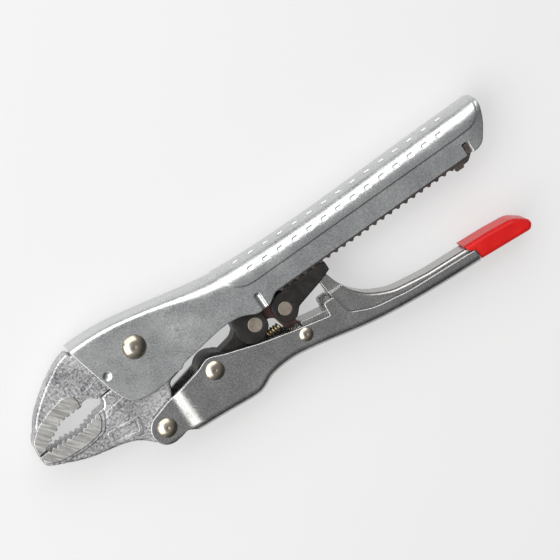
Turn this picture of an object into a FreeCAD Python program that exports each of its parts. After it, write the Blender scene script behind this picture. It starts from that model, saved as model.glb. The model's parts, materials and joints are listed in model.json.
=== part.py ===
"""Self-adjusting locking pliers with curved jaws, 250 mm long, lying on one side.

Drawing frame: X runs along the rear handle, jaws towards -X.  Y runs across the tool, from the
lower handle (-Y) to the back of the upper handle (+Y).  Z is the thickness, with z = 0 in the
middle plane.  The jaw pivot is at x = 0, y = 0.  Finished shapes are moved at the end so that the
origin lies under the middle of the tool, on the surface that it rests on.
"""
import FreeCAD, Part
import math
import os

V = FreeCAD.Vector
Z_AXIS = V(0, 0, 1)

# ---------------------------------------------------------------- driving dimensions, mm
SHEET = 2.6                 # sheet of the upper handle
LOWER_SHEET = 2.2           # sheet of the lower handle
LEVER_SHEET = 1.6           # sheet of the release lever
HEAD_HALF = 9.0             # half width of the head
REAR_HALF = 10.0            # half width of the rear handle
GRIP_RAISE = 0.5            # height of the grip panel above the sheet
EAR_HALF = 8.4              # half width over the lower handle's ears
LOWER_HALF = 9.7            # half width of the lower handle
LEVER_HALF = 6.9            # half width of the release lever
LINK_HALF = 6.9             # half width of the toggle link's fork and of the shoe
WEB_HALF = 4.5              # half width of the toggle link's web
FORK_INNER = 3.3            # half width of the slot in the fork
BLADE_HALF = 3.0            # half width of the slider link
SHOE_INNER = 4.9            # half width inside the shoe's channel
JAW_HALF = 5.3              # half width of the forged jaws
BAND_HALF = 5.65            # half width of the band round the ground jaw faces
FACE_HALF = 6.0             # half width of the ground jaw faces
TANG_HALF = 6.1             # half width of the fixed jaw between the head's flanges
HINGE_HALF = 5.8            # half width of the lower jaw's hinge plate

# pivots in the drawing frame, tool locked with closed jaws
JAW_PIVOT = V(0, 0, 0)
HANDLE_PIVOT = V(-8.0, -38.6, 0)
TOGGLE_PIVOT = V(23.5, -29.4, 0)
LINK_PIVOT = V(49.6, -23.6, 0)
SHOE_PIVOT = V(64.6, -25.4, 0)
LEVER_PIVOT = V(65.8, -39.8, 0)
ANCHOR = V(44.0, -4.0, 0)    # pin that holds the rear end of the jaw spring

RUNNING = 0.05              # radial clearance of a hole on its pin
SEATED = 0.02               # radial clearance of a pin in the holes that hold it

# rack
TOOTH_PITCH = 4.2
TOOTH_HEIGHT = 1.0
RACK_ROOT_Y = -16.9
RACK_FIRST_X = 68.3         # middle of the first tooth
RACK_TEETH = 23
RACK_HALF = 7.3
RACK_CHEEK = 2.2            # thickness of the rack's toothed edges
MESH_GAP = 0.15             # gap between the shoe's teeth and the rack's

# jaw teeth
JAW_ROUND = 1.3             # rounding of the forging's outer edges
STEP_SLOPE = 0.33           # slope at the foot of each raised face
JAW_TOOTH_PITCH = 2.65
JAW_TOOTH_DEPTH = 1.25

# rests
REST_HEIGHT = 11.2          # middle plane above the surface, set by the jaw rivet's heads
CENTRE_X = 62.695           # middle of the tool's length
CENTRE_Y = -22.319          # middle of its depth

BIG = 40.0


# ---------------------------------------------------------------- helpers
def corner_path(points):
    """Edges of a closed outline through corner points (x, y, radius), with tangent arcs.

    Where two arcs would meet on a short side, both radii are cut down until they fit.
    """
    count = len(points)
    corners = [V(x, y, 0) for x, y, _ in points]
    reach = []
    half_angles = []
    for i in range(count):
        before = corners[i - 1] - corners[i]
        after = corners[(i + 1) % count] - corners[i]
        half = before.getAngle(after) / 2
        half_angles.append(half)
        reach.append(points[i][2] / math.tan(half) if points[i][2] > 0 else 0.0)
    scale = []
    for i in range(count):
        fit = 1.0
        for j, k in ((i - 1, i), (i, (i + 1) % count)):
            side = (corners[k] - corners[j]).Length
            wanted = reach[j] + reach[k]
            if wanted > side:
                fit = min(fit, side / wanted)
        scale.append(fit)
    starts = []
    ends = []
    middles = []
    for i in range(count):
        here = corners[i]
        cut = reach[i] * scale[i]
        before = corners[i - 1] - here
        after = corners[(i + 1) % count] - here
        before.normalize()
        after.normalize()
        starts.append(here + before * cut)
        ends.append(here + after * cut)
        if cut == 0:
            middles.append(None)
            continue
        radius = cut * math.tan(half_angles[i])
        inward = before + after
        inward.normalize()
        middles.append(here + inward * (radius / math.sin(half_angles[i]) - radius))
    edges = []
    for i in range(count):
        if middles[i] is not None:
            edges.append(Part.Arc(starts[i], middles[i], ends[i]).toShape())
        following = starts[(i + 1) % count]
        if (following - ends[i]).Length > 1e-4:
            edges.append(Part.LineSegment(ends[i], following).toShape())
    return edges


def face(points):
    """Flat face in the XY plane inside a closed corner path."""
    return Part.Face(Part.Wire(corner_path(points)))


def slab(points, low, high):
    """Corner path extruded from z = low to z = high."""
    solid = face(points).extrude(V(0, 0, high - low))
    solid.translate(V(0, 0, low))
    return solid


def plate(points, half):
    """Corner path extruded to both sides of the middle plane."""
    return slab(points, -half, half)


def disc(centre, radius, low, high):
    """Cylinder along Z."""
    return Part.makeCylinder(radius, high - low, V(centre.x, centre.y, low), Z_AXIS)


def both_sides(solid):
    """The solid and its mirror image in the middle plane."""
    return [solid, solid.mirror(V(0, 0, 0), Z_AXIS)]


def smooth(x, start, end):
    """0 before start, 1 after end, and an even S-curve between."""
    t = min(max((x - start) / (end - start), 0.0), 1.0)
    return t * t * (3 - 2 * t)


def line_through(points):
    """Function y(x) of a smooth curve through the points, found by halving its range."""
    curve = Part.BSplineCurve()
    curve.interpolate([V(x, y, 0) for x, y in points])

    def height(x):
        low, high = curve.FirstParameter, curve.LastParameter
        for _ in range(40):
            middle = (low + high) / 2
            if curve.value(middle).x < x:
                low = middle
            else:
                high = middle
        return curve.value(low).y
    return height


def channel(stations, back, half, bend, edge_y):
    """Solid bar with two rounded back corners, lofted through cross sections along X."""
    wires = []
    for x in stations:
        y = back(x)
        w = half(x)
        r = bend(x)
        side = 1 if edge_y < y else -1
        mid = r * (1 - math.sqrt(0.5))
        a = V(x, edge_y, w)
        b = V(x, y - side * r, w)
        c = V(x, y, w - r)
        b_mid = V(x, y - side * mid, w - mid)
        d = V(x, y, r - w)
        e = V(x, y - side * r, -w)
        d_mid = V(x, y - side * mid, mid - w)
        f = V(x, edge_y, -w)
        edges = [
            Part.LineSegment(a, b).toShape(),
            Part.Arc(b, b_mid, c).toShape(),
            Part.LineSegment(c, d).toShape(),
            Part.Arc(d, d_mid, e).toShape(),
            Part.LineSegment(e, f).toShape(),
            Part.LineSegment(f, a).toShape(),
        ]
        wires.append(Part.Wire(edges))
    return Part.makeLoft(wires, True, False)


def rivet(centre, head_radius, shank_radius, face_z, height):
    """Domed rivet through the whole tool, with a small flat in the middle of each head."""
    flat = 0.2 * head_radius
    skirt = 0.35
    top = face_z + height
    run = head_radius - flat
    rise = height - skirt
    dome = (run * run + rise * rise) / (2 * rise)
    tilt = math.asin(run / dome) / 2
    bow_r = flat + dome * math.sin(tilt)
    bow_z = top - dome * (1 - math.cos(tilt))
    half = [
        Part.LineSegment(V(0, 0, 0), V(shank_radius, 0, 0)).toShape(),
        Part.LineSegment(V(shank_radius, 0, 0), V(shank_radius, 0, face_z)).toShape(),
        Part.LineSegment(V(shank_radius, 0, face_z), V(head_radius, 0, face_z)).toShape(),
        Part.LineSegment(V(head_radius, 0, face_z), V(head_radius, 0, face_z + skirt)).toShape(),
        Part.Arc(V(head_radius, 0, face_z + skirt), V(bow_r, 0, bow_z), V(flat, 0, top)).toShape(),
        Part.LineSegment(V(flat, 0, top), V(0, 0, top - 0.15)).toShape(),
        Part.LineSegment(V(0, 0, top - 0.15), V(0, 0, 0)).toShape(),
    ]
    upper = Part.Face(Part.Wire(half)).revolve(V(0, 0, 0), Z_AXIS, 360)
    body = upper.fuse(upper.mirror(V(0, 0, 0), Z_AXIS)).removeSplitter()
    body.translate(centre)
    return body


def flush_pin(centre, radius, half):
    """Pin with its two ends level with the faces, and a small chamfer on each."""
    pin = disc(centre, radius, -half, half)
    ends = [e for e in pin.Edges if isinstance(e.Curve, Part.Circle)]
    return pin.makeChamfer(0.2, ends)


def coil(start, direction, coil_radius, wire_radius, length, turns):
    """Helical spring along a direction."""
    pitch = length / turns
    path = Part.makeHelix(pitch, length, coil_radius)
    circle = Part.makeCircle(wire_radius, V(coil_radius, 0, 0), V(0, 1, 0))
    spring = Part.Wire(path.Edges).makePipeShell([Part.Wire([circle])], True, True)
    spring.Placement = FreeCAD.Placement(start, FreeCAD.Rotation(Z_AXIS, direction))
    return spring


# ---------------------------------------------------------------- upper handle
UPPER_BACK = [(-40, 14.2), (-22, 15.6), (-5, 14.7), (10, 11.9), (25, 8.9), (40, 6.2), (55, 4.6),
              (75, 3.7), (100, 3.4), (130, 3.95), (160, 4.5), (200, 4.9)]
STATION_STEP = 3.1
UPPER_STATIONS = [-36.0 + STATION_STEP * i for i in range(73)]
FLARE = (6.0, 36.0)         # run over which the head widens into the grip
BEND_FLARE = (8.0, 52.0)    # run over which the bend opens out
HEAD_BEND = 3.0
REAR_BEND = 8.0
END_TAPER_X = 176.0
END_X = 187.5

# side view of the whole channel, from the head's front edge round to the rear end
UPPER_OUTLINE = [
    (-25.0, 20, 0), (-24.4, 13.0, 40), (-20.6, -3.0, 60), (-18.6, -11.5, 30), (-14.2, -20.2, 9),
    (-6.0, -21.9, 30), (3.5, -21.6, 20), (8.5, -20.5, 12), (12.2, -20.3, 3), (14.0, -18.8, 3),
    (38.0, -15.0, 40), (47.0, -16.3, 20), (53.2, -19.6, 5), (59.8, -19.4, 5), (65.0, -15.9, 6),
    (172.9, -15.6, 0.8), (177.6, -15.5, 7), (184.2, -6.5, 25), (187.4, 1.5, 9), (184.6, 9.5, 5),
    (184.0, 20, 0),
]
# the same view of the hollow: open below and in front, closed by the rear wall
UPPER_HOLLOW = [
    (-60, 30, 0), (-60, -60, 0), (181.0, -60, 0), (181.0, -9.5, 4), (184.6, 1.2, 7),
    (182.4, 9.0, 3), (182.0, 30, 0),
]
GRIP_OUTLINE = [
    (46.4, 30, 0), (46.4, 4.5, 6), (49.6, -3.4, 12), (56.5, -6.8, 14), (170.0, -6.2, 30),
    (181.2, -5.6, 9), (185.2, 1.8, 10), (185.2, 30, 0),
]
RIM_SLOPE = 0.42            # slope along the panel's lower rim
NOTCH = [(169.7, -10.0, 0.6), (172.9, -10.0, 0.9), (172.9, -30, 0), (169.7, -30, 0)]
# groove pressed into each flange, which stops the slider link
DENT_X = 57.3
DENT_TOP_Y = -12.9
DENT_RADIUS = 1.7
DENT_DEPTH = 0.85
ANCHOR_SINK = 1.3           # how deep the anchor pin's ends go into the sheet
STAKE = V(-17.0, -4.0, 0)

DIMPLE_PITCH = 7.84
DIMPLE_LOW_X = 62.0
DIMPLE_LOW_COUNT = 14
DIMPLE_HIGH_X = 58.0
DIMPLE_HIGH_COUNT = 15
DIMPLE_ANGLES = (22.0, 69.0)    # round the bend, from the flange
DIMPLE_LENGTH = 3.5
DIMPLE_WIDTH = 1.7
DIMPLE_DEPTH = 0.35

upper_back = line_through(UPPER_BACK)


def upper_half(x):
    """Half width of the upper handle: narrow head, flare, wide grip, rounded end."""
    width = HEAD_HALF + (REAR_HALF - HEAD_HALF) * smooth(x, *FLARE)
    if x > END_TAPER_X:
        t = (x - END_TAPER_X) / (END_X + 1.5 - END_TAPER_X)
        width -= 4.6 * (1 - math.sqrt(1 - t * t))
    return width


ANCHOR_HALF = upper_half(ANCHOR.x) - SHEET + ANCHOR_SINK


def upper_bend(x):
    """Outer bend radius of the back: tight on the head, wide on the grip."""
    radius = HEAD_BEND + (REAR_BEND - HEAD_BEND) * smooth(x, *BEND_FLARE)
    return min(radius, upper_half(x) - 2.0)


def upper_bar(grow):
    """The upper handle's bar, grown or shrunk all round."""
    return channel(
        UPPER_STATIONS,
        lambda x: upper_back(x) + grow,
        lambda x: upper_half(x) + grow,
        lambda x: max(upper_bend(x) + grow, 0.6),
        -45.0,
    )


def dimple_row(first_x, count, angle):
    """Cutters for one row of oval dimples along the grip's bend."""
    cutters = []
    radial = V(0, math.sin(math.radians(angle)), math.cos(math.radians(angle)))
    for i in range(count):
        x = first_x + i * DIMPLE_PITCH
        radius = upper_bend(x)
        centre = V(x, upper_back(x) - radius, upper_half(x) - radius)
        floor = centre + radial * (radius + GRIP_RAISE - DIMPLE_DEPTH)
        half_run = (DIMPLE_LENGTH - DIMPLE_WIDTH) / 2
        r = DIMPLE_WIDTH / 2
        outline = face([
            (-half_run - r, -r, r * 0.98), (half_run + r, -r, r * 0.98),
            (half_run + r, r, r * 0.98), (-half_run - r, r, r * 0.98),
        ])
        cutter = outline.extrude(V(0, 0, 2.0))
        turn = FreeCAD.Rotation(V(1, 0, 0), V(1, 0, 0).cross(radial) * -1, radial, "ZXY")
        cutter.Placement = FreeCAD.Placement(floor, turn)
        cutters.append(cutter)
    return cutters


def panel_rim(panel):
    """Edges where the grip panel's flat sides end below."""
    rim = []
    for edge in panel.Edges:
        middle = edge.valueAt((edge.FirstParameter + edge.LastParameter) / 2)
        level = abs(abs(middle.z) - REAR_HALF - GRIP_RAISE) < 0.02
        bend_start = upper_back(middle.x) - upper_bend(middle.x)
        if level and edge.BoundBox.ZLength < 0.02 and middle.y < bend_start - 0.25:
            rim.append(edge)
    return rim


def make_upper_handle():
    """Folded channel with the grip panel, stop grooves, notch and stake marks."""
    shell = upper_bar(0)
    panel = upper_bar(GRIP_RAISE).common(plate(GRIP_OUTLINE, BIG))
    panel = panel.makeChamfer(RIM_SLOPE, panel_rim(panel))
    shell = shell.fuse(panel)
    shell = shell.common(plate(UPPER_OUTLINE, BIG))
    hollow = upper_bar(-SHEET).common(plate(UPPER_HOLLOW, BIG))
    shell = shell.cut(hollow)
    shell = shell.cut(plate(NOTCH, BIG))
    shell = shell.cut(disc(JAW_PIVOT, 3.2 + SEATED, -BIG, BIG))
    seat = ANCHOR_HALF + SEATED
    shell = shell.cut(disc(ANCHOR, 2.0 + SEATED, -seat, seat))
    marks = []
    for sign in (1, -1):
        marks.append(Part.makeSphere(3.2, V(STAKE.x, STAKE.y, sign * (HEAD_HALF + 2.5))))
        dent_z = sign * (upper_half(DENT_X) + DENT_RADIUS - DENT_DEPTH)
        dent_top = V(DENT_X, DENT_TOP_Y, dent_z)
        marks.append(Part.makeSphere(DENT_RADIUS, dent_top))
        marks.append(Part.makeCylinder(DENT_RADIUS, 10.0, dent_top, V(0, -1, 0)))
    for first_x, count, angle in (
        (DIMPLE_LOW_X, DIMPLE_LOW_COUNT, DIMPLE_ANGLES[0]),
        (DIMPLE_HIGH_X, DIMPLE_HIGH_COUNT, DIMPLE_ANGLES[1]),
    ):
        for cutter in dimple_row(first_x, count, angle):
            marks.extend(both_sides(cutter))
    shell = shell.cut(marks)
    return shell


# ---------------------------------------------------------------- jaws
# the fixed jaw in front of the head, its rear part inside the head
FIXED_OUTLINE = [
    (-16.0, 12.2, 0), (-24.9, 12.4, 0.2), (-26.2, 14.4, 1.5), (-31.5, 13.2, 14),
    (-42.5, 7.2, 60), (-53.5, -1.6, 30), (-60.6, -11.8, 16), (-61.4, -16.8, 0),
    (-57.0, -16.3, 1), (-51.0, -12.9, 6), (-44.4, -9.5, 5), (-35.2, -9.3, 1),
    (-33.8, -9.2, 0.5), (-32.4, -7.8, 1.0), (-29.2, -7.7, 3), (-26.0, -10.4, 0.8),
    (-16.0, -9.78, 0),
]
GROOVE = [(-29.4, -4.9, 0.9), (-16.7, -1.3, 0), (-17.3, 0.8, 0), (-30.0, -2.7, 0.9)]
GROOVE_DEPTH = 1.2
TANG_OUTLINE = [
    (-23.2, 12.3, 0), (-19.4, -3.0, 0), (-17.6, -9.55, 0), (-13.2, -9.55, 0), (-13.2, 9.8, 0),
    (-5.0, 11.6, 0), (-8.0, 12.2, 0),
]
FIXED_BAND = [
    (-61.4, -16.8, 1), (-60.2, -6.9, 4), (-56.4, -3.9, 12), (-45.0, 0.5, 20), (-36.5, 2.0, 9),
    (-31.0, -1.4, 5), (-33.2, -8.2, 3), (-33.6, -9.1, 0.3), (-44.4, -9.5, 5), (-51.0, -12.9, 6),
    (-57.0, -16.3, 1),
]
FIXED_FACE = [
    (-61.2, -16.7, 1), (-60.6, -10.6, 6), (-55.0, -5.6, 20), (-46.0, -2.4, 20), (-37.2, -0.6, 6),
    (-33.4, -4.4, 4), (-34.0, -9.1, 0.5), (-44.4, -9.5, 5), (-51.0, -12.9, 6), (-57.0, -16.3, 1),
]
LOWER_OUTLINE = [
    (-61.2, -17.2, 0.6), (-61.6, -19.6, 3), (-57.0, -24.6, 14), (-44.0, -30.6, 60),
    (-28.0, -34.0, 30), (-20.6, -36.8, 18), (-15.6, -42.0, 8), (-8.0, -47.0, 6.8),
    (-0.2, -38.6, 6.8), (0.6, -33.0, 8), (4.6, -22.9, 3), (12.0, -21.4, 3), (11.6, -8.0, 9),
    (9.4, 5.0, 6.5), (0, 10.4, 8.5), (-8.6, 6.0, 7), (-10.0, -4.0, 6), (-12.6, -9.9, 1.5),
    (-24.6, -10.6, 1), (-25.0, -15.2, 3), (-31.4, -15.8, 2.5), (-40.5, -18.2, 10),
    (-48.0, -16.9, 12), (-56.5, -17.0, 3),
]
LOWER_BAND = [
    (-61.2, -17.2, 0.6), (-61.2, -22.0, 3), (-54.5, -25.7, 14), (-42.0, -26.2, 20),
    (-31.5, -25.2, 6), (-27.2, -18.4, 8), (-26.2, -15.3, 0.5), (-31.4, -15.8, 2.5),
    (-40.5, -18.2, 10), (-48.0, -16.9, 12), (-56.5, -17.0, 3),
]
LOWER_FACE = [
    (-61.1, -17.2, 0.6), (-60.6, -21.4, 3), (-54.0, -24.3, 14), (-42.0, -25.0, 20),
    (-32.6, -23.9, 6), (-29.0, -18.4, 8), (-28.8, -15.6, 0.5), (-31.4, -15.8, 2.5),
    (-40.5, -18.2, 10), (-48.0, -16.9, 12), (-56.5, -17.0, 3),
]
FRAME_OUTER = [(-31.0, -25.6, 1), (-15.2, -27.2, 1), (-17.6, -35.0, 1), (-31.8, -31.8, 1)]
FRAME_INNER = [(-29.4, -27.0, 0.5), (-16.9, -28.4, 0.5), (-18.6, -33.1, 0.5), (-30.0, -30.6, 0.5)]
BAR = [(-27.0, -20.4, 0.6), (-14.0, -18.3, 0.6), (-14.0, -15.9, 0.6), (-26.4, -17.6, 0.6)]


def notches(path, depth, half):
    """V-shaped cutters at even steps along a polyline, each pointing to the left of its run."""
    cutters = []
    carry = 0.0
    for (x0, y0), (x1, y1) in zip(path, path[1:]):
        run = math.hypot(x1 - x0, y1 - y0)
        ux, uy = (x1 - x0) / run, (y1 - y0) / run
        nx, ny = -uy, ux
        s = carry
        while s < run:
            x = x0 + ux * s
            y = y0 + uy * s
            w = JAW_TOOTH_PITCH * 0.47
            low = depth * 0.12
            cutters.append(plate([
                (x - ux * w - nx * low, y - uy * w - ny * low, 0),
                (x + nx * depth, y + ny * depth, 0.25),
                (x + ux * w - nx * low, y + uy * w - ny * low, 0),
                (x - nx * 3, y - ny * 3, 0),
            ], half))
            s += JAW_TOOTH_PITCH
        carry = s - run
    return cutters


def side_edges(solid, half, keep):
    """Edges of both flat sides where keep(x, y) allows."""
    picked = []
    for edge in solid.Edges:
        box = edge.BoundBox
        if box.ZLength > 0.01 or abs(abs(box.ZMax) - half) > 0.01:
            continue
        middle = edge.valueAt((edge.FirstParameter + edge.LastParameter) / 2)
        if keep(middle.x, middle.y):
            picked.append(edge)
    return picked


def make_fixed_jaw():
    """Forged upper jaw with a raised ground face, teeth, and a tang held in the head."""
    body = plate(FIXED_OUTLINE, JAW_HALF)
    back = side_edges(body, JAW_HALF, lambda x, y: y > -9.0 and x < -30 and y > x + 42)
    body = body.makeFillet(JAW_ROUND, back)
    tang = plate(TANG_OUTLINE, TANG_HALF).common(upper_bar(-SHEET - 0.05))
    tang = tang.cut(disc(JAW_PIVOT, 11.0, -BIG, BIG))
    band = plate(FIXED_BAND, BAND_HALF)
    band = band.makeChamfer(STEP_SLOPE, side_edges(band, BAND_HALF, lambda x, y: y > -7.0))
    ground = plate(FIXED_FACE, FACE_HALF)
    ground = ground.makeChamfer(STEP_SLOPE, side_edges(ground, FACE_HALF, lambda x, y: y > -8.4))
    jaw = body.fuse([tang, band, ground])
    jaw = jaw.cut(both_sides(slab(GROOVE, JAW_HALF - GROOVE_DEPTH, BIG)))
    grip_line = [(-56.2, -16.1), (-51.0, -13.1), (-44.6, -9.75), (-34.6, -9.4)]
    return jaw.cut(notches(grip_line, JAW_TOOTH_DEPTH, BIG))


def make_lower_jaw():
    """Forged lower jaw with its hinge plate and the boss that carries the lower handle."""
    body = plate(LOWER_OUTLINE, JAW_HALF)
    belly = side_edges(body, JAW_HALF, lambda x, y: y < -19.0 and x < -14.5)
    body = body.makeFillet(JAW_ROUND, belly)
    hinge = disc(JAW_PIVOT, 9.0, -HINGE_HALF, HINGE_HALF)
    boss = disc(HANDLE_PIVOT, 6.2, -HINGE_HALF, HINGE_HALF)
    band = plate(LOWER_BAND, BAND_HALF)
    band = band.makeChamfer(STEP_SLOPE, side_edges(band, BAND_HALF, lambda x, y: y < -20.5))
    ground = plate(LOWER_FACE, FACE_HALF)
    ground = ground.makeChamfer(STEP_SLOPE, side_edges(ground, FACE_HALF, lambda x, y: y < -20.0))
    rim = plate(FRAME_OUTER, JAW_HALF + 0.5).cut(plate(FRAME_INNER, BIG))
    bar = plate(BAR, JAW_HALF + 0.5)
    jaw = body.fuse([hinge, boss, band, ground, rim, bar])
    grip_line = [(-32.0, -15.9), (-40.2, -18.1), (-48.0, -16.9), (-56.6, -17.0)]
    jaw = jaw.cut(notches(grip_line, JAW_TOOTH_DEPTH, BIG))
    jaw = jaw.cut([
        disc(JAW_PIVOT, 3.2 + RUNNING, -BIG, BIG),
        disc(HANDLE_PIVOT, 2.8 + RUNNING, -BIG, BIG),
    ])
    slot = plate([(3.5, -19, 0), (20, -19, 0), (20, -11.5, 0), (3.5, -11.5, 0)], HOOK_SLOT_HALF)
    return jaw.cut(slot.cut(disc(SPRING_HOOK, HOOK_POST_RADIUS, -BIG, BIG)))


# ---------------------------------------------------------------- rack
SPRING_HOOK = V(7.0, -15.5, 0)
HOOK_SLOT_HALF = 0.9        # slot in the jaw's hinge plate for the spring's eye
HOOK_POST_RADIUS = 1.2      # post left in the slot, which carries the eye
RACK_TOP_Y = -10.6
RACK_END_X = 162.2
LUG_END_X = 165.8
TAB_REACH = REAR_HALF - 0.3


def tooth_row(first_x, count, root_y, tip_y, back_y, start_x, end_x):
    """Outline of a toothed strip: blunt triangular teeth from root_y to tip_y."""
    foot = 1.35
    crest = 0.35
    points = [(start_x, back_y, 0), (start_x, root_y, 0)]
    for i in range(count):
        x = first_x + i * TOOTH_PITCH
        points.append((x - foot, root_y, 0.2))
        points.append((x - crest, tip_y, 0.2))
        points.append((x + crest, tip_y, 0.2))
        points.append((x + foot, root_y, 0.2))
    points.append((end_x, root_y, 0))
    points.append((end_x, back_y, 0))
    return points


def make_rack_strip():
    """Folded strip inside the rear handle, with two rows of teeth and a locking end tab."""
    tip = RACK_ROOT_Y - TOOTH_HEIGHT
    teeth = tooth_row(RACK_FIRST_X, RACK_TEETH, RACK_ROOT_Y, tip, RACK_TOP_Y, 66.2, RACK_END_X)
    strip = plate(teeth, RACK_HALF)
    end = plate([
        (RACK_END_X - 0.4, RACK_TOP_Y, 0), (RACK_END_X - 0.4, -19.4, 0.5), (LUG_END_X, -19.5, 0.6),
        (LUG_END_X + 0.4, -18.5, 0.3), (169.0, -18.3, 3), (172.3, -15.4, 0.6),
        (172.3, RACK_TOP_Y, 0.5),
    ], RACK_HALF)
    inner = RACK_HALF - RACK_CHEEK
    hollow = plate([
        (60, RACK_TOP_Y - 2.0, 0), (180, RACK_TOP_Y - 2.0, 0), (180, -40, 0), (60, -40, 0),
    ], inner)
    tab = plate([
        (170.1, RACK_TOP_Y, 0.3), (170.1, -15.2, 0.3), (172.4, -15.2, 0.3),
        (172.4, RACK_TOP_Y, 0.3),
    ], TAB_REACH).cut(plate([(160, 0, 0), (160, -30, 0), (180, -30, 0), (180, 0, 0)], inner))
    return strip.fuse([end, tab]).cut(hollow)


# ---------------------------------------------------------------- lower handle
LOWER_BACK = [(-30, -47.6), (-8, -47.8), (5, -48.3), (20, -49.3), (31, -50.3), (37, -49.9),
              (42, -47.6), (48, -46.3), (56, -46.1), (64, -47.2), (75, -49.5), (90, -52.9),
              (105, -55.3), (125, -57.3), (145, -58.6), (165, -59.6)]
LOWER_STATIONS = [-20.0 + 3.5 * i for i in range(50)]
LOWER_BEND = 3.6
EARS = [
    (-8.0, -46.1, 0), (-15.5, -46.1, 7.4), (-15.5, -36.0, 6.5), (-12.0, -32.3, 3.5),
    (-2.0, -29.3, 20), (8.0, -27.4, 20), (17.0, -25.4, 20), (23.4, -22.6, 6), (30.5, -25.7, 14),
    (48.0, -31.6, 60), (64.0, -35.7, 60), (79.2, -39.2, 0.5), (79.7, -33.0, 1.4),
    (85.2, -33.0, 1.6), (86.1, -38.5, 0.3), (87.0, -42.8, 3), (97.0, -47.6, 30),
    (115.0, -50.6, 60), (149.2, -52.7, 1), (149.6, -60.0, 3), (60.0, -66.0, 0), (4.4, -60.0, 0),
    (3.4, -47.7, 2), (-1.0, -44.6, 3), (-4.6, -45.6, 2),
]


def lower_half(x):
    """Half width of the lower handle: narrow ears, a joggle, then the wide channel."""
    return EAR_HALF + (LOWER_HALF - EAR_HALF) * smooth(x, 0.5, 7.5)


lower_back = line_through(LOWER_BACK)


def lower_bar(grow):
    """The lower handle's bar, grown or shrunk all round."""
    return channel(
        LOWER_STATIONS,
        lambda x: lower_back(x) - grow,
        lambda x: lower_half(x) + grow,
        lambda x: LOWER_BEND + grow,
        0.0,
    )


def make_lower_handle():
    """Folded channel, open towards the upper handle, with ears, joggle and side lugs."""
    shell = lower_bar(0).common(plate(EARS, BIG))
    shell = shell.cut(lower_bar(-LOWER_SHEET))
    gap = EAR_HALF - LOWER_SHEET
    throat = slab([(-30, -60, 0), (4.2, -60, 0), (2.4, -30, 0), (-2, -20, 0), (-30, -20, 0)], -gap, gap)
    shell = shell.cut(throat)
    lips = []
    for solid in both_sides(slab([
        (79.9, -35.0, 0.4), (79.9, -33.1, 0.8), (85.0, -33.1, 0.8), (85.3, -35.0, 0.4),
    ], LOWER_HALF - LOWER_SHEET - 0.4, LOWER_HALF - 0.2)):
        lips.append(solid)
    shell = shell.fuse(lips)
    shell = shell.cut([
        disc(HANDLE_PIVOT, 2.8 + SEATED, -BIG, BIG),
        disc(TOGGLE_PIVOT, 2.2 + SEATED, -BIG, BIG),
        disc(LEVER_PIVOT, 2.0 + SEATED, -BIG, BIG),
    ])
    return shell


# ---------------------------------------------------------------- toggle link, slider link, shoe
LINK_ROUND = 0.5            # rounding of the link's and the shoe's edges
BOSS_RADIUS = 7.6
SLOT_RADIUS = 3.4           # half width of the lost-motion slot round the toggle rivet
SLOT_START = (0.1, -0.5)    # ends of the slot's middle line, towards the link pin and across
SLOT_END = (3.15, -2.2)


def make_toggle_link():
    """Forged link: boss on the toggle rivet, web, and a forked round head on the link pin."""
    along = LINK_PIVOT - TOGGLE_PIVOT
    along.normalize()
    across = V(-along.y, along.x, 0)
    a = TOGGLE_PIVOT + along * SLOT_START[0] + across * SLOT_START[1]
    b = TOGGLE_PIVOT + along * SLOT_END[0] + across * SLOT_END[1]
    boss = disc(TOGGLE_PIVOT, BOSS_RADIUS, -LINK_HALF, LINK_HALF)
    boss = boss.fuse(disc((a + b) * 0.5, BOSS_RADIUS, -LINK_HALF, LINK_HALF))
    web = plate([
        (23.5, -24.0, 2), (29.0, -24.9, 12), (38.0, -23.2, 6), (42.0, -19.6, 0), (46.0, -22, 0),
        (44.0, -31.6, 0), (38.0, -31.6, 8), (23.5, -35.5, 4),
    ], WEB_HALF)
    head = plate([
        (49.6, -15.2, 6), (41.4, -15.2, 5), (40.2, -24.0, 12), (41.6, -32.4, 7.5),
        (50.0, -31.0, 6), (55.2, -27.4, 5.2), (55.2, -18.0, 5.2),
    ], LINK_HALF)
    head = head.makeFillet(LINK_ROUND, side_edges(head, LINK_HALF, lambda x, y: True))
    slot = disc(LINK_PIVOT, 5.8, -FORK_INNER, FORK_INNER)
    open_side = plate([
        (LINK_PIVOT.x, LINK_PIVOT.y, 0), (38.0, -29.0, 0), (38.0, -60, 0), (90, -60, 0),
        (90, 0, 0), (LINK_PIVOT.x, 0, 0),
    ], FORK_INNER)
    link = boss.fuse([web, head]).cut([slot, open_side])
    side = b - a
    side.normalize()
    side = V(-side.y, side.x, 0) * SLOT_RADIUS
    lane = plate([
        (a.x + side.x, a.y + side.y, 0), (b.x + side.x, b.y + side.y, 0),
        (b.x - side.x, b.y - side.y, 0), (a.x - side.x, a.y - side.y, 0),
    ], BIG)
    return link.cut([
        disc(a, SLOT_RADIUS, -BIG, BIG), disc(b, SLOT_RADIUS, -BIG, BIG), lane,
        disc(LINK_PIVOT, 3.4 + SEATED, -BIG, BIG),
    ])


def make_slider_link():
    """Blade between the link pin and the shoe pin, with the tail that the lever pushes."""
    blade = plate([
        (44.4, -23.6, 0), (45.2, -18.4, 5.2), (56.0, -19.0, 10), (69.4, -20.6, 4.6),
        (69.4, -29.0, 5), (66.3, -31.5, 3), (66.3, -34.8, 1.2), (60.8, -34.8, 1.2),
        (59.6, -31.0, 4), (58.8, -27.0, 2.6), (54.6, -24.6, 2.2), (53.4, -28.8, 3),
        (45.2, -28.8, 5.0),
    ], BLADE_HALF)
    return blade.cut([
        disc(LINK_PIVOT, 3.4 + RUNNING, -BIG, BIG),
        disc(SHOE_PIVOT, 3.2 + RUNNING, -BIG, BIG),
    ])


SHOE_END_X = 90.7
SHOE_WEB = 1.8


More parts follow.
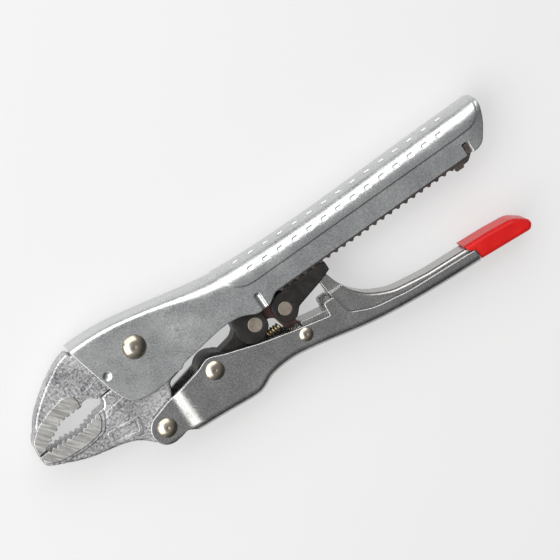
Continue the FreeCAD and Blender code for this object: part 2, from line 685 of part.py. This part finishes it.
def make_shoe():
    """Folded channel under the rack: two cheeks, a toothed web on top."""
    tip = RACK_ROOT_Y - MESH_GAP
    root = tip - TOOTH_HEIGHT
    cheeks = plate([
        (59.2, -25.4, 0), (59.2, -20.6, 4.6), (63.6, root - 0.6, 4), (68.0, root, 2),
        (SHOE_END_X, root, 0.6), (SHOE_END_X, -22.3, 0.8), (84.0, -24.7, 2), (70.6, -28.2, 3),
        (67.2, -31.8, 3), (59.2, -31.8, 5.6),
    ], LINK_HALF)
    lower = side_edges(cheeks, LINK_HALF, lambda x, y: y < root - 0.3)
    cheeks = cheeks.makeFillet(LINK_ROUND, lower)
    first = RACK_FIRST_X + TOOTH_PITCH / 2
    row = [(first - 1.2, root - 0.5, 0)]
    for i in range(5):
        x = first + i * TOOTH_PITCH
        row.append((x - 1.2, root, 0))
        row.append((x - 0.35, tip, 0.15))
        row.append((x + 0.35, tip, 0.15))
        row.append((x + 1.2, root, 0))
    row.append((first + 4 * TOOTH_PITCH + 1.2, root - 0.5, 0))
    teeth = plate(row, LINK_HALF - 0.15)
    hollow = plate([
        (50, root - SHOE_WEB, 0), (50, -60, 0), (110, -60, 0), (110, root - SHOE_WEB, 0),
    ], SHOE_INNER)
    mouth = plate([(50, 0, 0), (50, -60, 0), (70.2, -60, 0), (70.2, 0, 0)], SHOE_INNER)
    shoe = cheeks.fuse(teeth).cut([hollow, mouth])
    return shoe.cut(disc(SHOE_PIVOT, 3.2 + SEATED, -BIG, BIG))


# ---------------------------------------------------------------- release lever and its grip
LEVER_TOP = [
    (66.9, -34.4, 0.6), (73.0, -35.7, 20), (84.9, -37.6, 1.5), (84.3, -24.3, 0.5),
    (88.6, -23.9, 0), (91.0, -32.4, 30), (98.5, -41.2, 26), (109.0, -46.6, 24),
    (126.0, -49.2, 60), (160.0, -51.2, 60), (174.5, -53.6, 0),
]
LEVER_BOTTOM = [
    (174.5, -57.4, 2), (150.0, -56.4, 40), (110.0, -53.3, 60), (90.0, -49.6, 60),
    (72.0, -44.6, 12), (66.0, -44.4, 4.4), (61.3, -44.4, 4.4), (61.3, -36.4, 4.4),
    (66.9, -36.9, 0),
]
FIN_HALF = 4.6              # half width of the fin, which runs inside the shoe
FIN_FOOT_Y = -33.5
FIN_SHOULDER_Y = -31.5
GRIP_START = [(145.3, -46.0), (147.0, -51.7), (149.8, -53.2), (150.6, -64.0)]


def make_release_lever():
    """Folded channel, its back towards the upper handle, with a fin that rises into the shoe."""
    bar = plate(LEVER_TOP + LEVER_BOTTOM, LEVER_HALF)
    back = []
    for edge in bar.Edges:
        box = edge.BoundBox
        if box.ZLength > 0.01 or abs(abs(box.ZMax) - LEVER_HALF) > 0.01:
            continue
        middle = edge.valueAt((edge.FirstParameter + edge.LastParameter) / 2)
        if middle.x > 88.8 and middle.y > -53.0 - 0.05 * (middle.x - 150):
            back.append(edge)
    bar = bar.makeFillet(1.8, back)
    t = LEVER_SHEET
    inside = [
        (66.9 + t, -34.4 - t, 0.5), (73.0, -35.7 - t, 20),
        (86.4, -37.9 - t, 1), (86.4, -20, 0), (86.8, -20, 0), (89.4, -33.0, 30),
        (97.3, -42.4, 27), (108.4, -48.1, 25), (126.0, -50.8, 60), (160.0, -52.8, 60),
        (173.0, -55.0, 2), (173.0, -70, 0), (66.9 + t, -70, 0),
    ]
    open_fin = [(80, -20, 0), (80, -36.0, 0), (86.9, -36.0, 0), (86.9, -20, 0)]
    nose = plate([(50, -30, 0), (50, -50, 0), (66.9 + t, -50, 0), (66.9 + t, -37.6, 0),
                  (66.9, -36.0, 0), (66.9, -30, 0)], LEVER_HALF - t)
    above = plate([(80, FIN_SHOULDER_Y, 0), (110, FIN_SHOULDER_Y, 0), (110, 0, 0), (80, 0, 0)], BIG)
    lever = bar.cut([plate(inside, LEVER_HALF - t), plate(open_fin, LEVER_HALF - t), nose, above])
    fin_zone = plate([(80, FIN_FOOT_Y, 0), (110, FIN_FOOT_Y, 0), (110, 0, 0), (80, 0, 0)], BIG)
    fin = plate(LEVER_TOP + LEVER_BOTTOM, FIN_HALF).common(fin_zone)
    shoulder = plate(LEVER_TOP + LEVER_BOTTOM, LEVER_HALF - 0.4).common(fin_zone).cut(above)
    fin = fin.fuse(shoulder)
    fin = fin.cut([plate(inside, FIN_HALF - t), plate(open_fin, FIN_HALF - t)])
    lever = lever.fuse(fin)
    return lever.cut(disc(LEVER_PIVOT, 2.0 + RUNNING, -BIG, BIG))


def make_lever_grip():
    """Dipped vinyl sleeve over the lever's end, a little larger than the lever all round."""
    outer = plate([
        (140.0, -48.6, 0), (160.0, -49.9, 60), (171.4, -51.2, 9), (178.2, -56.4, 3.4),
        (176.6, -60.4, 3.4), (160.0, -59.2, 60), (140.0, -57.6, 0),
    ], LEVER_HALF + 1.5)
    mouth = plate([(GRIP_START[0][0], GRIP_START[0][1], 0), (GRIP_START[1][0], GRIP_START[1][1], 1),
                   (GRIP_START[2][0], GRIP_START[2][1], 1), (GRIP_START[3][0], GRIP_START[3][1], 0),
                   (200, -64, 0), (200, -40, 0)], BIG)
    sleeve = outer.common(mouth)
    edges = []
    for edge in sleeve.Edges:
        box = edge.BoundBox
        if box.ZLength < 0.01 and abs(abs(box.ZMax) - LEVER_HALF - 1.5) < 0.01 and box.XMax > 152:
            edges.append(edge)
    sleeve = sleeve.makeFillet(2.2, edges)
    core = plate(LEVER_TOP + LEVER_BOTTOM, LEVER_HALF + 0.02)
    return sleeve.cut(core)


# ---------------------------------------------------------------- springs
def make_jaw_spring():
    """Tension spring from the jaw's post to the anchor pin: coils, and an eye at each end."""
    span = ANCHOR - SPRING_HOOK
    length = span.Length
    along = V(span.x, span.y, 0)
    along.normalize()
    wire_radius = 0.5
    lead_radius = 0.45
    coil_radius = 2.6
    lead = 8.5
    coils = coil(SPRING_HOOK + along * lead, along, coil_radius, wire_radius, length - 2 * lead, 13)
    rim = [corner.Point for corner in coils.Vertexes]
    solids = [coils]
    for centre, post, way in ((SPRING_HOOK, HOOK_POST_RADIUS, along), (ANCHOR, 2.0, along * -1)):
        eye_radius = post + wire_radius + 0.1
        solids.append(Part.makeTorus(eye_radius, wire_radius, centre, Z_AXIS))
        foot = centre + way * (eye_radius + wire_radius)
        knee = centre + way * lead
        near = min(rim, key=lambda point: (point - knee).Length)
        out = near - knee
        out.normalize()
        turn = 1.0
        path = Part.Wire([
            Part.LineSegment(foot, knee - way * turn).toShape(),
            Part.Arc(knee - way * turn, knee - (way - out) * (turn * (1 - math.sqrt(0.5))),
                     knee + out * turn).toShape(),
            Part.LineSegment(knee + out * turn, knee + out * (coil_radius - wire_radius)).toShape(),
        ])
        section = Part.Wire([Part.makeCircle(lead_radius, foot, way)])
        solids.append(path.makePipeShell([section], True, False))
    return Part.makeCompound(solids)


def make_tail_spring():
    """Brass coloured compression spring beside the slider link's tail."""
    return coil(V(51.6, -32.0, 0), V(1, 0, 0), 1.7, 0.45, 7.4, 5)


def make_lever_spring():
    """Torsion spring round the lever rivet."""
    return coil(V(LEVER_PIVOT.x, LEVER_PIVOT.y, -3.6), Z_AXIS, 2.9, 0.4, 7.2, 6)


# ---------------------------------------------------------------- export
def parts():
    """Every node and its shape in the drawing frame."""
    return {
        "upper_handle": make_upper_handle(),
        "fixed_jaw": make_fixed_jaw(),
        "rack_strip": make_rack_strip(),
        "jaw_pivot_rivet": rivet(JAW_PIVOT, 5.5, 3.2, HEAD_HALF + 0.02, 2.18),
        "spring_anchor_pin": disc(ANCHOR, 2.0, -ANCHOR_HALF, ANCHOR_HALF),
        "lower_jaw": make_lower_jaw(),
        "jaw_spring": make_jaw_spring(),
        "lower_handle": make_lower_handle(),
        "handle_jaw_rivet": rivet(HANDLE_PIVOT, 4.5, 2.8, EAR_HALF + 0.02, 1.7),
        "toggle_rivet": rivet(TOGGLE_PIVOT, 4.3, 2.2, LOWER_HALF + 0.02, 1.4),
        "lever_rivet": rivet(LEVER_PIVOT, 3.2, 2.0, LOWER_HALF + 0.02, 1.2),
        "lever_spring": make_lever_spring(),
        "toggle_link": make_toggle_link(),
        "link_pin": flush_pin(LINK_PIVOT, 3.4, LINK_HALF + 0.05),
        "slider_link": make_slider_link(),
        "tail_spring": make_tail_spring(),
        "shoe": make_shoe(),
        "shoe_pin": flush_pin(SHOE_PIVOT, 3.2, LINK_HALF + 0.05),
        "release_lever": make_release_lever(),
        "lever_grip": make_lever_grip(),
    }


def main():
    """Build every node, move it to the record's frame and write its STEP file."""
    os.makedirs("parts", exist_ok=True)
    for name, shape in parts().items():
        shape.translate(V(-CENTRE_X, -CENTRE_Y, REST_HEIGHT))
        shape.exportStep(os.path.join("parts", name + ".step"))
        box = shape.BoundBox
        print(name, shape.isValid(), len(shape.Solids), round(shape.Volume),
              [round(v, 1) for v in (box.XMin, box.XMax, box.YMin, box.YMax, box.ZMin, box.ZMax)])


main()
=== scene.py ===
"""Looks of the locking pliers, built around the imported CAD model."""

import json
import math

import bpy
from mathutils import Matrix, Vector


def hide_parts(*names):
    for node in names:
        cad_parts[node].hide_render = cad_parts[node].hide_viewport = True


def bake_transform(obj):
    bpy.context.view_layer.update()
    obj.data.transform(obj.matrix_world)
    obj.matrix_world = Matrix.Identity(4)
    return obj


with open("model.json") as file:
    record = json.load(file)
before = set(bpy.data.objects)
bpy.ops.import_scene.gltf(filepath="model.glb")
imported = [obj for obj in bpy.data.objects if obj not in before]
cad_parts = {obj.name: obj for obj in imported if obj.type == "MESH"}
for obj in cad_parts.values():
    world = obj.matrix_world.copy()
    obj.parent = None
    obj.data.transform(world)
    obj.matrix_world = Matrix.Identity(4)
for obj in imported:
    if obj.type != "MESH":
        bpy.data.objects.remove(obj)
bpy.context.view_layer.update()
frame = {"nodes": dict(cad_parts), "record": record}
nodes = frame["nodes"]

MM = 0.001
MIDDLE_Z = 11.2 * MM                       # middle plane of the tool
TURN = math.radians(33.746)                # the tool's long axis, turned in the picture
SHIFT = Vector((-62.695, 22.319, 11.2))    # from the CAD drawing's frame to this one, mm


def from_drawing(x, y, z):
    """Point of the CAD drawing's frame, in mm, as a point of the scene in metres."""
    return (Vector((x, y, z)) + SHIFT) * MM


def from_picture(x, y, z):
    """Direction given as right, up and towards the viewer in the picture."""
    return Matrix.Rotation(-TURN, 3, "Z") @ Vector((x, y, z))


# ---------------------------------------------------------------- camera
CAMERA_LEAN = (-0.20, 0.135, 1.0)              # from the tool to the camera, in the picture
CAMERA_DISTANCE = 1500 * MM
CAMERA_TARGET = from_drawing(69.57, -12.99, 9.0)
SENSOR = 36.0                                  # width of the sensor, mm
LENS = 219.2143                                # focal length, mm


def make_camera():
    """Long lens, a little off straight above, with the tool on the picture's diagonal."""
    back = from_picture(*CAMERA_LEAN).normalized()
    up = from_picture(0, 1, 0)
    right = (-back).cross(up).normalized()
    up = back.cross(right)
    data = bpy.data.cameras.new("camera")
    data.sensor_width = SENSOR
    data.lens = LENS
    data.clip_start = 0.05
    data.clip_end = 20
    cam = bpy.data.objects.new("camera", data)
    basis = Matrix((right, up, back)).transposed()
    cam.matrix_world = Matrix.Translation(CAMERA_TARGET + back * CAMERA_DISTANCE) @ basis.to_4x4()
    bpy.context.scene.collection.objects.link(cam)
    bpy.context.scene.camera = cam


make_camera()


# ---------------------------------------------------------------- node helpers
class Net:
    """Short calls for building one material's node tree."""

    def __init__(self, name):
        self.mat = bpy.data.materials.new(name)
        self.mat.use_nodes = True
        self.tree = self.mat.node_tree
        self.shader = self.tree.nodes["Principled BSDF"]
        self.coords = self.add("ShaderNodeTexCoord").outputs["Object"]

    def add(self, kind, **settings):
        node = self.tree.nodes.new(kind)
        for key, value in settings.items():
            setattr(node, key, value)
        return node

    def put(self, socket, value):
        """Links an output to a socket, or sets the socket's own value."""
        if isinstance(value, bpy.types.NodeSocket):
            self.tree.links.new(value, socket)
        else:
            socket.default_value = value

    def math(self, kind, a, b=0.0):
        node = self.add("ShaderNodeMath", operation=kind)
        self.put(node.inputs[0], a)
        self.put(node.inputs[1], b)
        return node.outputs[0]

    def stretch(self, value, low, high, to_low=0.0, to_high=1.0):
        node = self.add("ShaderNodeMapRange")
        self.put(node.inputs["Value"], value)
        for key, number in (("From Min", low), ("From Max", high),
                            ("To Min", to_low), ("To Max", to_high)):
            node.inputs[key].default_value = number
        return node.outputs["Result"]

    def placed(self, stretched=(1, 1, 1), turn=0.0):
        """Coordinates drawn out along the first axis, which is turned about Z."""
        node = self.add("ShaderNodeMapping", vector_type="TEXTURE")
        self.put(node.inputs["Vector"], self.coords)
        node.inputs["Rotation"].default_value = (0, 0, turn)
        node.inputs["Scale"].default_value = stretched
        return node.outputs["Vector"]

    def noise(self, size, detail=2.0, rough=0.5, where=None):
        """Noise whose blobs are about size metres across."""
        node = self.add("ShaderNodeTexNoise")
        self.put(node.inputs["Vector"], where or self.coords)
        node.inputs["Scale"].default_value = 1.0 / size
        node.inputs["Detail"].default_value = detail
        node.inputs["Roughness"].default_value = rough
        return node.outputs["Fac"]

    def blend(self, share, a, b):
        node = self.add("ShaderNodeMix", data_type="RGBA")
        self.put(node.inputs["Factor"], share)
        for socket, value in ((node.inputs[6], a), (node.inputs[7], b)):
            if not isinstance(value, bpy.types.NodeSocket):
                value = (*value, 1.0)
            self.put(socket, value)
        return node.outputs[2]

    def edges(self, radius):
        """Rounded normal, and how near a point is to an edge, from 0 to 1."""
        bevel = self.add("ShaderNodeBevel", samples=8)
        bevel.inputs["Radius"].default_value = radius
        geometry = self.add("ShaderNodeNewGeometry")
        dot = self.add("ShaderNodeVectorMath", operation="DOT_PRODUCT")
        self.put(dot.inputs[0], bevel.outputs[0])
        self.put(dot.inputs[1], geometry.outputs["Normal"])
        return bevel.outputs[0], self.stretch(dot.outputs["Value"], 0.99, 0.80)

    def height_z(self):
        """Distance from the tool's middle plane."""
        split = self.add("ShaderNodeSeparateXYZ")
        self.put(split.inputs[0], self.coords)
        return self.math("ABSOLUTE", self.math("SUBTRACT", split.outputs["Z"], MIDDLE_Z))

    def bump(self, height, depth, normal=None):
        node = self.add("ShaderNodeBump")
        node.inputs["Distance"].default_value = depth
        self.put(node.inputs["Height"], height)
        if normal is not None:
            self.put(node.inputs["Normal"], normal)
        return node.outputs["Normal"]

    def finish(self, colour, roughness, normal, metallic=1.0):
        self.put(self.shader.inputs["Base Color"], colour)
        self.put(self.shader.inputs["Roughness"], roughness)
        self.put(self.shader.inputs["Normal"], normal)
        self.shader.inputs["Metallic"].default_value = metallic
        return self.mat


SHEET_GRAIN = 0.7 * MM
SHEET_PEEL = 2.4 * SHEET_GRAIN             # size of the orange peel's bumps


def plated_sheet(name, light, dark, rough, edge=0.7 * MM, edge_highlight_share=0.7):
    """Satin nickel over stamped sheet: orange peel, fine mottling, and a painted highlight along
    the edges.
    """
    net = Net(name)
    cloud = net.noise(0.014, 3.0, 0.6)
    fine = net.noise(SHEET_GRAIN, 3.0, 0.6)
    peel = net.noise(SHEET_PEEL, 2.0, 0.5)
    rounded, near_edge = net.edges(edge)
    tone = net.stretch(net.math("ADD", net.math("MULTIPLY", cloud, 0.2),
                                net.math("MULTIPLY", fine, 0.8)), 0.36, 0.64)
    colour = net.blend(tone, dark, light)
    # Edges lightened towards near white: a painted edge highlight.
    colour = net.blend(net.math("MULTIPLY", near_edge, edge_highlight_share), colour, (0.92, 0.92, 0.91))
    roughness = net.math("ADD", net.stretch(cloud, 0.3, 0.7, rough - 0.05, rough + 0.06),
                         net.stretch(fine, 0.3, 0.7, -0.05, 0.05))
    normal = net.bump(peel, 2.0e-5, rounded)
    normal = net.bump(fine, 0.8e-5, normal)
    return net.finish(colour, roughness, normal)


SCORE_ANGLE = math.radians(-52)            # way the grinding lines run on the jaw faces
GROUND_FROM = 5.90 * MM                    # height above the middle plane where grinding starts
GROUND_FULL = 5.96 * MM


def forged(name, light, dark, rough):
    """Blasted forging, with ground and scored faces where the jaws stand proudest."""
    net = Net(name)
    fine = net.noise(0.0011, 3.0, 0.7)
    lumps = net.noise(0.0024, 2.0, 0.5)
    cloud = net.noise(0.012, 2.0, 0.5)
    rounded, near_edge = net.edges(0.0003)
    scores = net.noise(0.0008, 3.0, 0.6, net.placed((12, 1, 1), SCORE_ANGLE))
    broad = net.noise(0.0022, 1.0, 0.5, net.placed((16, 1, 1), SCORE_ANGLE))
    ground = net.stretch(net.height_z(), GROUND_FROM, GROUND_FULL)
    tone = net.stretch(net.math("ADD", net.math("MULTIPLY", cloud, 0.3),
                                net.math("MULTIPLY", fine, 0.7)), 0.40, 0.60)
    rough_colour = net.blend(tone, dark, light)
    scored = net.blend(net.stretch(scores, 0.38, 0.62), (0.38, 0.375, 0.36), (0.70, 0.69, 0.67))
    colour = net.blend(ground, rough_colour, scored)
    # Edges lightened towards pale grey: a painted edge highlight.
    colour = net.blend(net.math("MULTIPLY", near_edge, 0.35), colour, (0.80, 0.80, 0.79))
    grit = net.math("ADD", net.math("MULTIPLY", fine, 0.6), net.math("MULTIPLY", lumps, 0.8))
    lines = net.math("ADD", net.math("MULTIPLY", scores, 0.35), net.math("MULTIPLY", broad, 0.5))
    height = net.add("ShaderNodeMix")
    net.put(height.inputs["Factor"], ground)
    net.put(height.inputs[2], grit)
    net.put(height.inputs[3], lines)
    normal = net.bump(height.outputs[0], 0.00011, rounded)
    roughness = net.stretch(fine, 0.3, 0.7, rough - 0.05, rough + 0.08)
    return net.finish(colour, roughness, normal)


def plain_metal(name, light, dark, rough, depth=1.0e-5, metallic=1.0, edge_highlight_colour=(0.7, 0.7, 0.7)):
    """Small metal part: mottled tone, fine grain and a painted highlight along the edges."""
    net = Net(name)
    cloud = net.noise(0.006, 3.0, 0.6)
    fine = net.noise(0.0008, 3.0, 0.6)
    rounded, near_edge = net.edges(0.0002)
    tone = net.stretch(net.math("ADD", net.math("MULTIPLY", cloud, 0.6),
                                net.math("MULTIPLY", fine, 0.4)), 0.35, 0.65)
    colour = net.blend(tone, dark, light)
    # Edges lightened towards the given colour: a painted edge highlight.
    colour = net.blend(net.math("MULTIPLY", near_edge, 0.35), colour, edge_highlight_colour)
    roughness = net.stretch(cloud, 0.3, 0.7, rough - 0.06, rough + 0.08)
    normal = net.bump(fine, depth, rounded)
    return net.finish(colour, roughness, normal, metallic)


def vinyl(name):
    """Dipped red vinyl: glossy, with faint flow marks and a painted highlight along the edges."""
    net = Net(name)
    cloud = net.noise(0.009, 3.0, 0.5)
    flow = net.noise(0.0035, 2.0, 0.5, net.placed((4.0, 1.0, 1.0)))
    rounded, near_edge = net.edges(0.0006)
    colour = net.blend(net.stretch(cloud, 0.3, 0.7), (0.58, 0.012, 0.012), (0.70, 0.022, 0.018))
    # Edges lightened towards a brighter red: a painted edge highlight.
    colour = net.blend(net.math("MULTIPLY", near_edge, 0.4), colour, (0.76, 0.05, 0.04))
    roughness = net.stretch(cloud, 0.3, 0.7, 0.24, 0.32)
    normal = net.bump(flow, 0.00012, rounded)
    net.shader.inputs["Specular IOR Level"].default_value = 0.16
    return net.finish(colour, roughness, normal, 0.0)


MATERIALS = {
    "upper_sheet": plated_sheet("upper_sheet_satin", (0.72, 0.725, 0.725), (0.51, 0.515, 0.52),
                                0.32),
    "lower_sheet": plated_sheet("lower_sheet_satin", (0.55, 0.55, 0.54), (0.35, 0.35, 0.345),
                                0.27, edge_highlight_share=0.5),
    "lever_sheet": plated_sheet("lever_sheet_satin", (0.54, 0.53, 0.52), (0.38, 0.375, 0.37),
                                0.28, edge=0.4 * MM, edge_highlight_share=0.35),
    "forged_jaw": forged("forged_blasted", (0.74, 0.74, 0.75), (0.24, 0.24, 0.25), 0.42),
    "rivet": plain_metal("rivet_polished", (0.56, 0.50, 0.41), (0.42, 0.37, 0.30), 0.22,
                         depth=0.6e-5, edge_highlight_colour=(0.75, 0.70, 0.60)),
    "pin": plain_metal("pin_ground", (0.44, 0.385, 0.32), (0.33, 0.29, 0.24), 0.48,
                       edge_highlight_colour=(0.62, 0.56, 0.48)),
    "rack": plain_metal("rack_phosphate", (0.20, 0.165, 0.15), (0.11, 0.09, 0.085), 0.50,
                        edge_highlight_colour=(0.42, 0.38, 0.35)),
    "black_steel": plain_metal("black_oxide", (0.062, 0.058, 0.056), (0.032, 0.030, 0.029), 0.44,
                               depth=2.5e-5, edge_highlight_colour=(0.26, 0.26, 0.26), metallic=0.85),
    "brown_steel": plain_metal("brown_oxide", (0.16, 0.095, 0.08), (0.08, 0.05, 0.045), 0.46,
                               depth=2.0e-5, edge_highlight_colour=(0.3, 0.24, 0.2), metallic=0.85),
    "spring_wire": plain_metal("spring_wire_drawn", (0.6, 0.6, 0.6), (0.42, 0.42, 0.42), 0.3),
    "brass_wire": plain_metal("brass_wire_drawn", (0.72, 0.62, 0.38), (0.52, 0.43, 0.24), 0.3),
    "red_vinyl": vinyl("red_vinyl_dipped"),
}
SLOT_OF = {part["node"]: part["material_slot"] for part in frame["record"]["subparts"]}

for name, obj in nodes.items():
    obj.data.materials.clear()
    obj.data.materials.append(MATERIALS[SLOT_OF[name]])


def make_jaw_spring():
    """The CAD spring's coils copied into a piece of their own, with the CAD spring hidden."""
    spring = bpy.data.objects.new("jaw_spring_coils", nodes["jaw_spring"].data.copy())
    bpy.context.scene.collection.objects.link(spring)
    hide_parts("jaw_spring")
    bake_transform(spring)


make_jaw_spring()


# ---------------------------------------------------------------- floor and light
def make_floor():
    """White light table: pale, and lit a little from below so the gaps stay bright."""
    net = Net("floor_pale")
    cloud = net.noise(0.25, 2.0, 0.5)
    fine = net.noise(0.004, 2.0, 0.5)
    colour = net.blend(cloud, (0.31, 0.31, 0.31), (0.33, 0.33, 0.33))
    net.finish(colour, net.stretch(cloud, 0.3, 0.7, 0.75, 0.85), net.bump(fine, 2e-5), 0.0)
    net.shader.inputs["Emission Color"].default_value = (1.0, 1.0, 1.0, 1.0)
    net.shader.inputs["Emission Strength"].default_value = 0.50
    bpy.ops.mesh.primitive_plane_add(size=6.0, location=(0, 0, -0.0002))
    floor = bpy.context.object
    floor.name = "floor"
    floor.data.materials.append(net.mat)


def softbox(name, direction, distance, size, radiance, tint=(1, 1, 1)):
    """Area light that faces the tool, given by its direction in the drawing's frame."""
    data = bpy.data.lights.new(name, "AREA")
    data.shape = "RECTANGLE"
    data.size, data.size_y = size
    data.energy = radiance * math.pi * size[0] * size[1]
    data.color = tint
    lamp = bpy.data.objects.new(name, data)
    away = Vector(direction).normalized()
    lamp.location = away * distance
    lamp.rotation_mode = "QUATERNION"
    lamp.rotation_quaternion = away.to_track_quat("Z", "Y")
    bpy.context.scene.collection.objects.link(lamp)


def make_world():
    """Even grey room, darker low down on the two sides away from the softboxes."""
    world = bpy.data.worlds.new("studio")
    world.use_nodes = True
    tree = world.node_tree
    back = tree.nodes["Background"]
    back.inputs["Color"].default_value = (0.97, 0.985, 1.0, 1.0)
    place = tree.nodes.new("ShaderNodeTexCoord")
    lean = tree.nodes.new("ShaderNodeVectorMath")
    lean.operation = "DOT_PRODUCT"
    lean.inputs[1].default_value = (0.55, -0.80, -0.25)
    level = tree.nodes.new("ShaderNodeMapRange")
    level.inputs["From Min"].default_value = 0.05
    level.inputs["From Max"].default_value = 0.55
    level.inputs["To Min"].default_value = 0.33
    level.inputs["To Max"].default_value = 0.07
    tree.links.new(place.outputs["Generated"], lean.inputs[0])
    tree.links.new(lean.outputs["Value"], level.inputs["Value"])
    tree.links.new(level.outputs["Result"], back.inputs["Strength"])
    bpy.context.scene.world = world


make_floor()
make_world()
softbox("box_back", (0.0, 0.70, 0.71), 1.2, (1.7, 0.95), 2.3)
softbox("box_jaws", (-0.66, 0.05, 0.75), 1.2, (1.15, 1.0), 3.0, (1.0, 0.99, 0.97))
bpy.context.scene.view_settings.view_transform = "Standard"
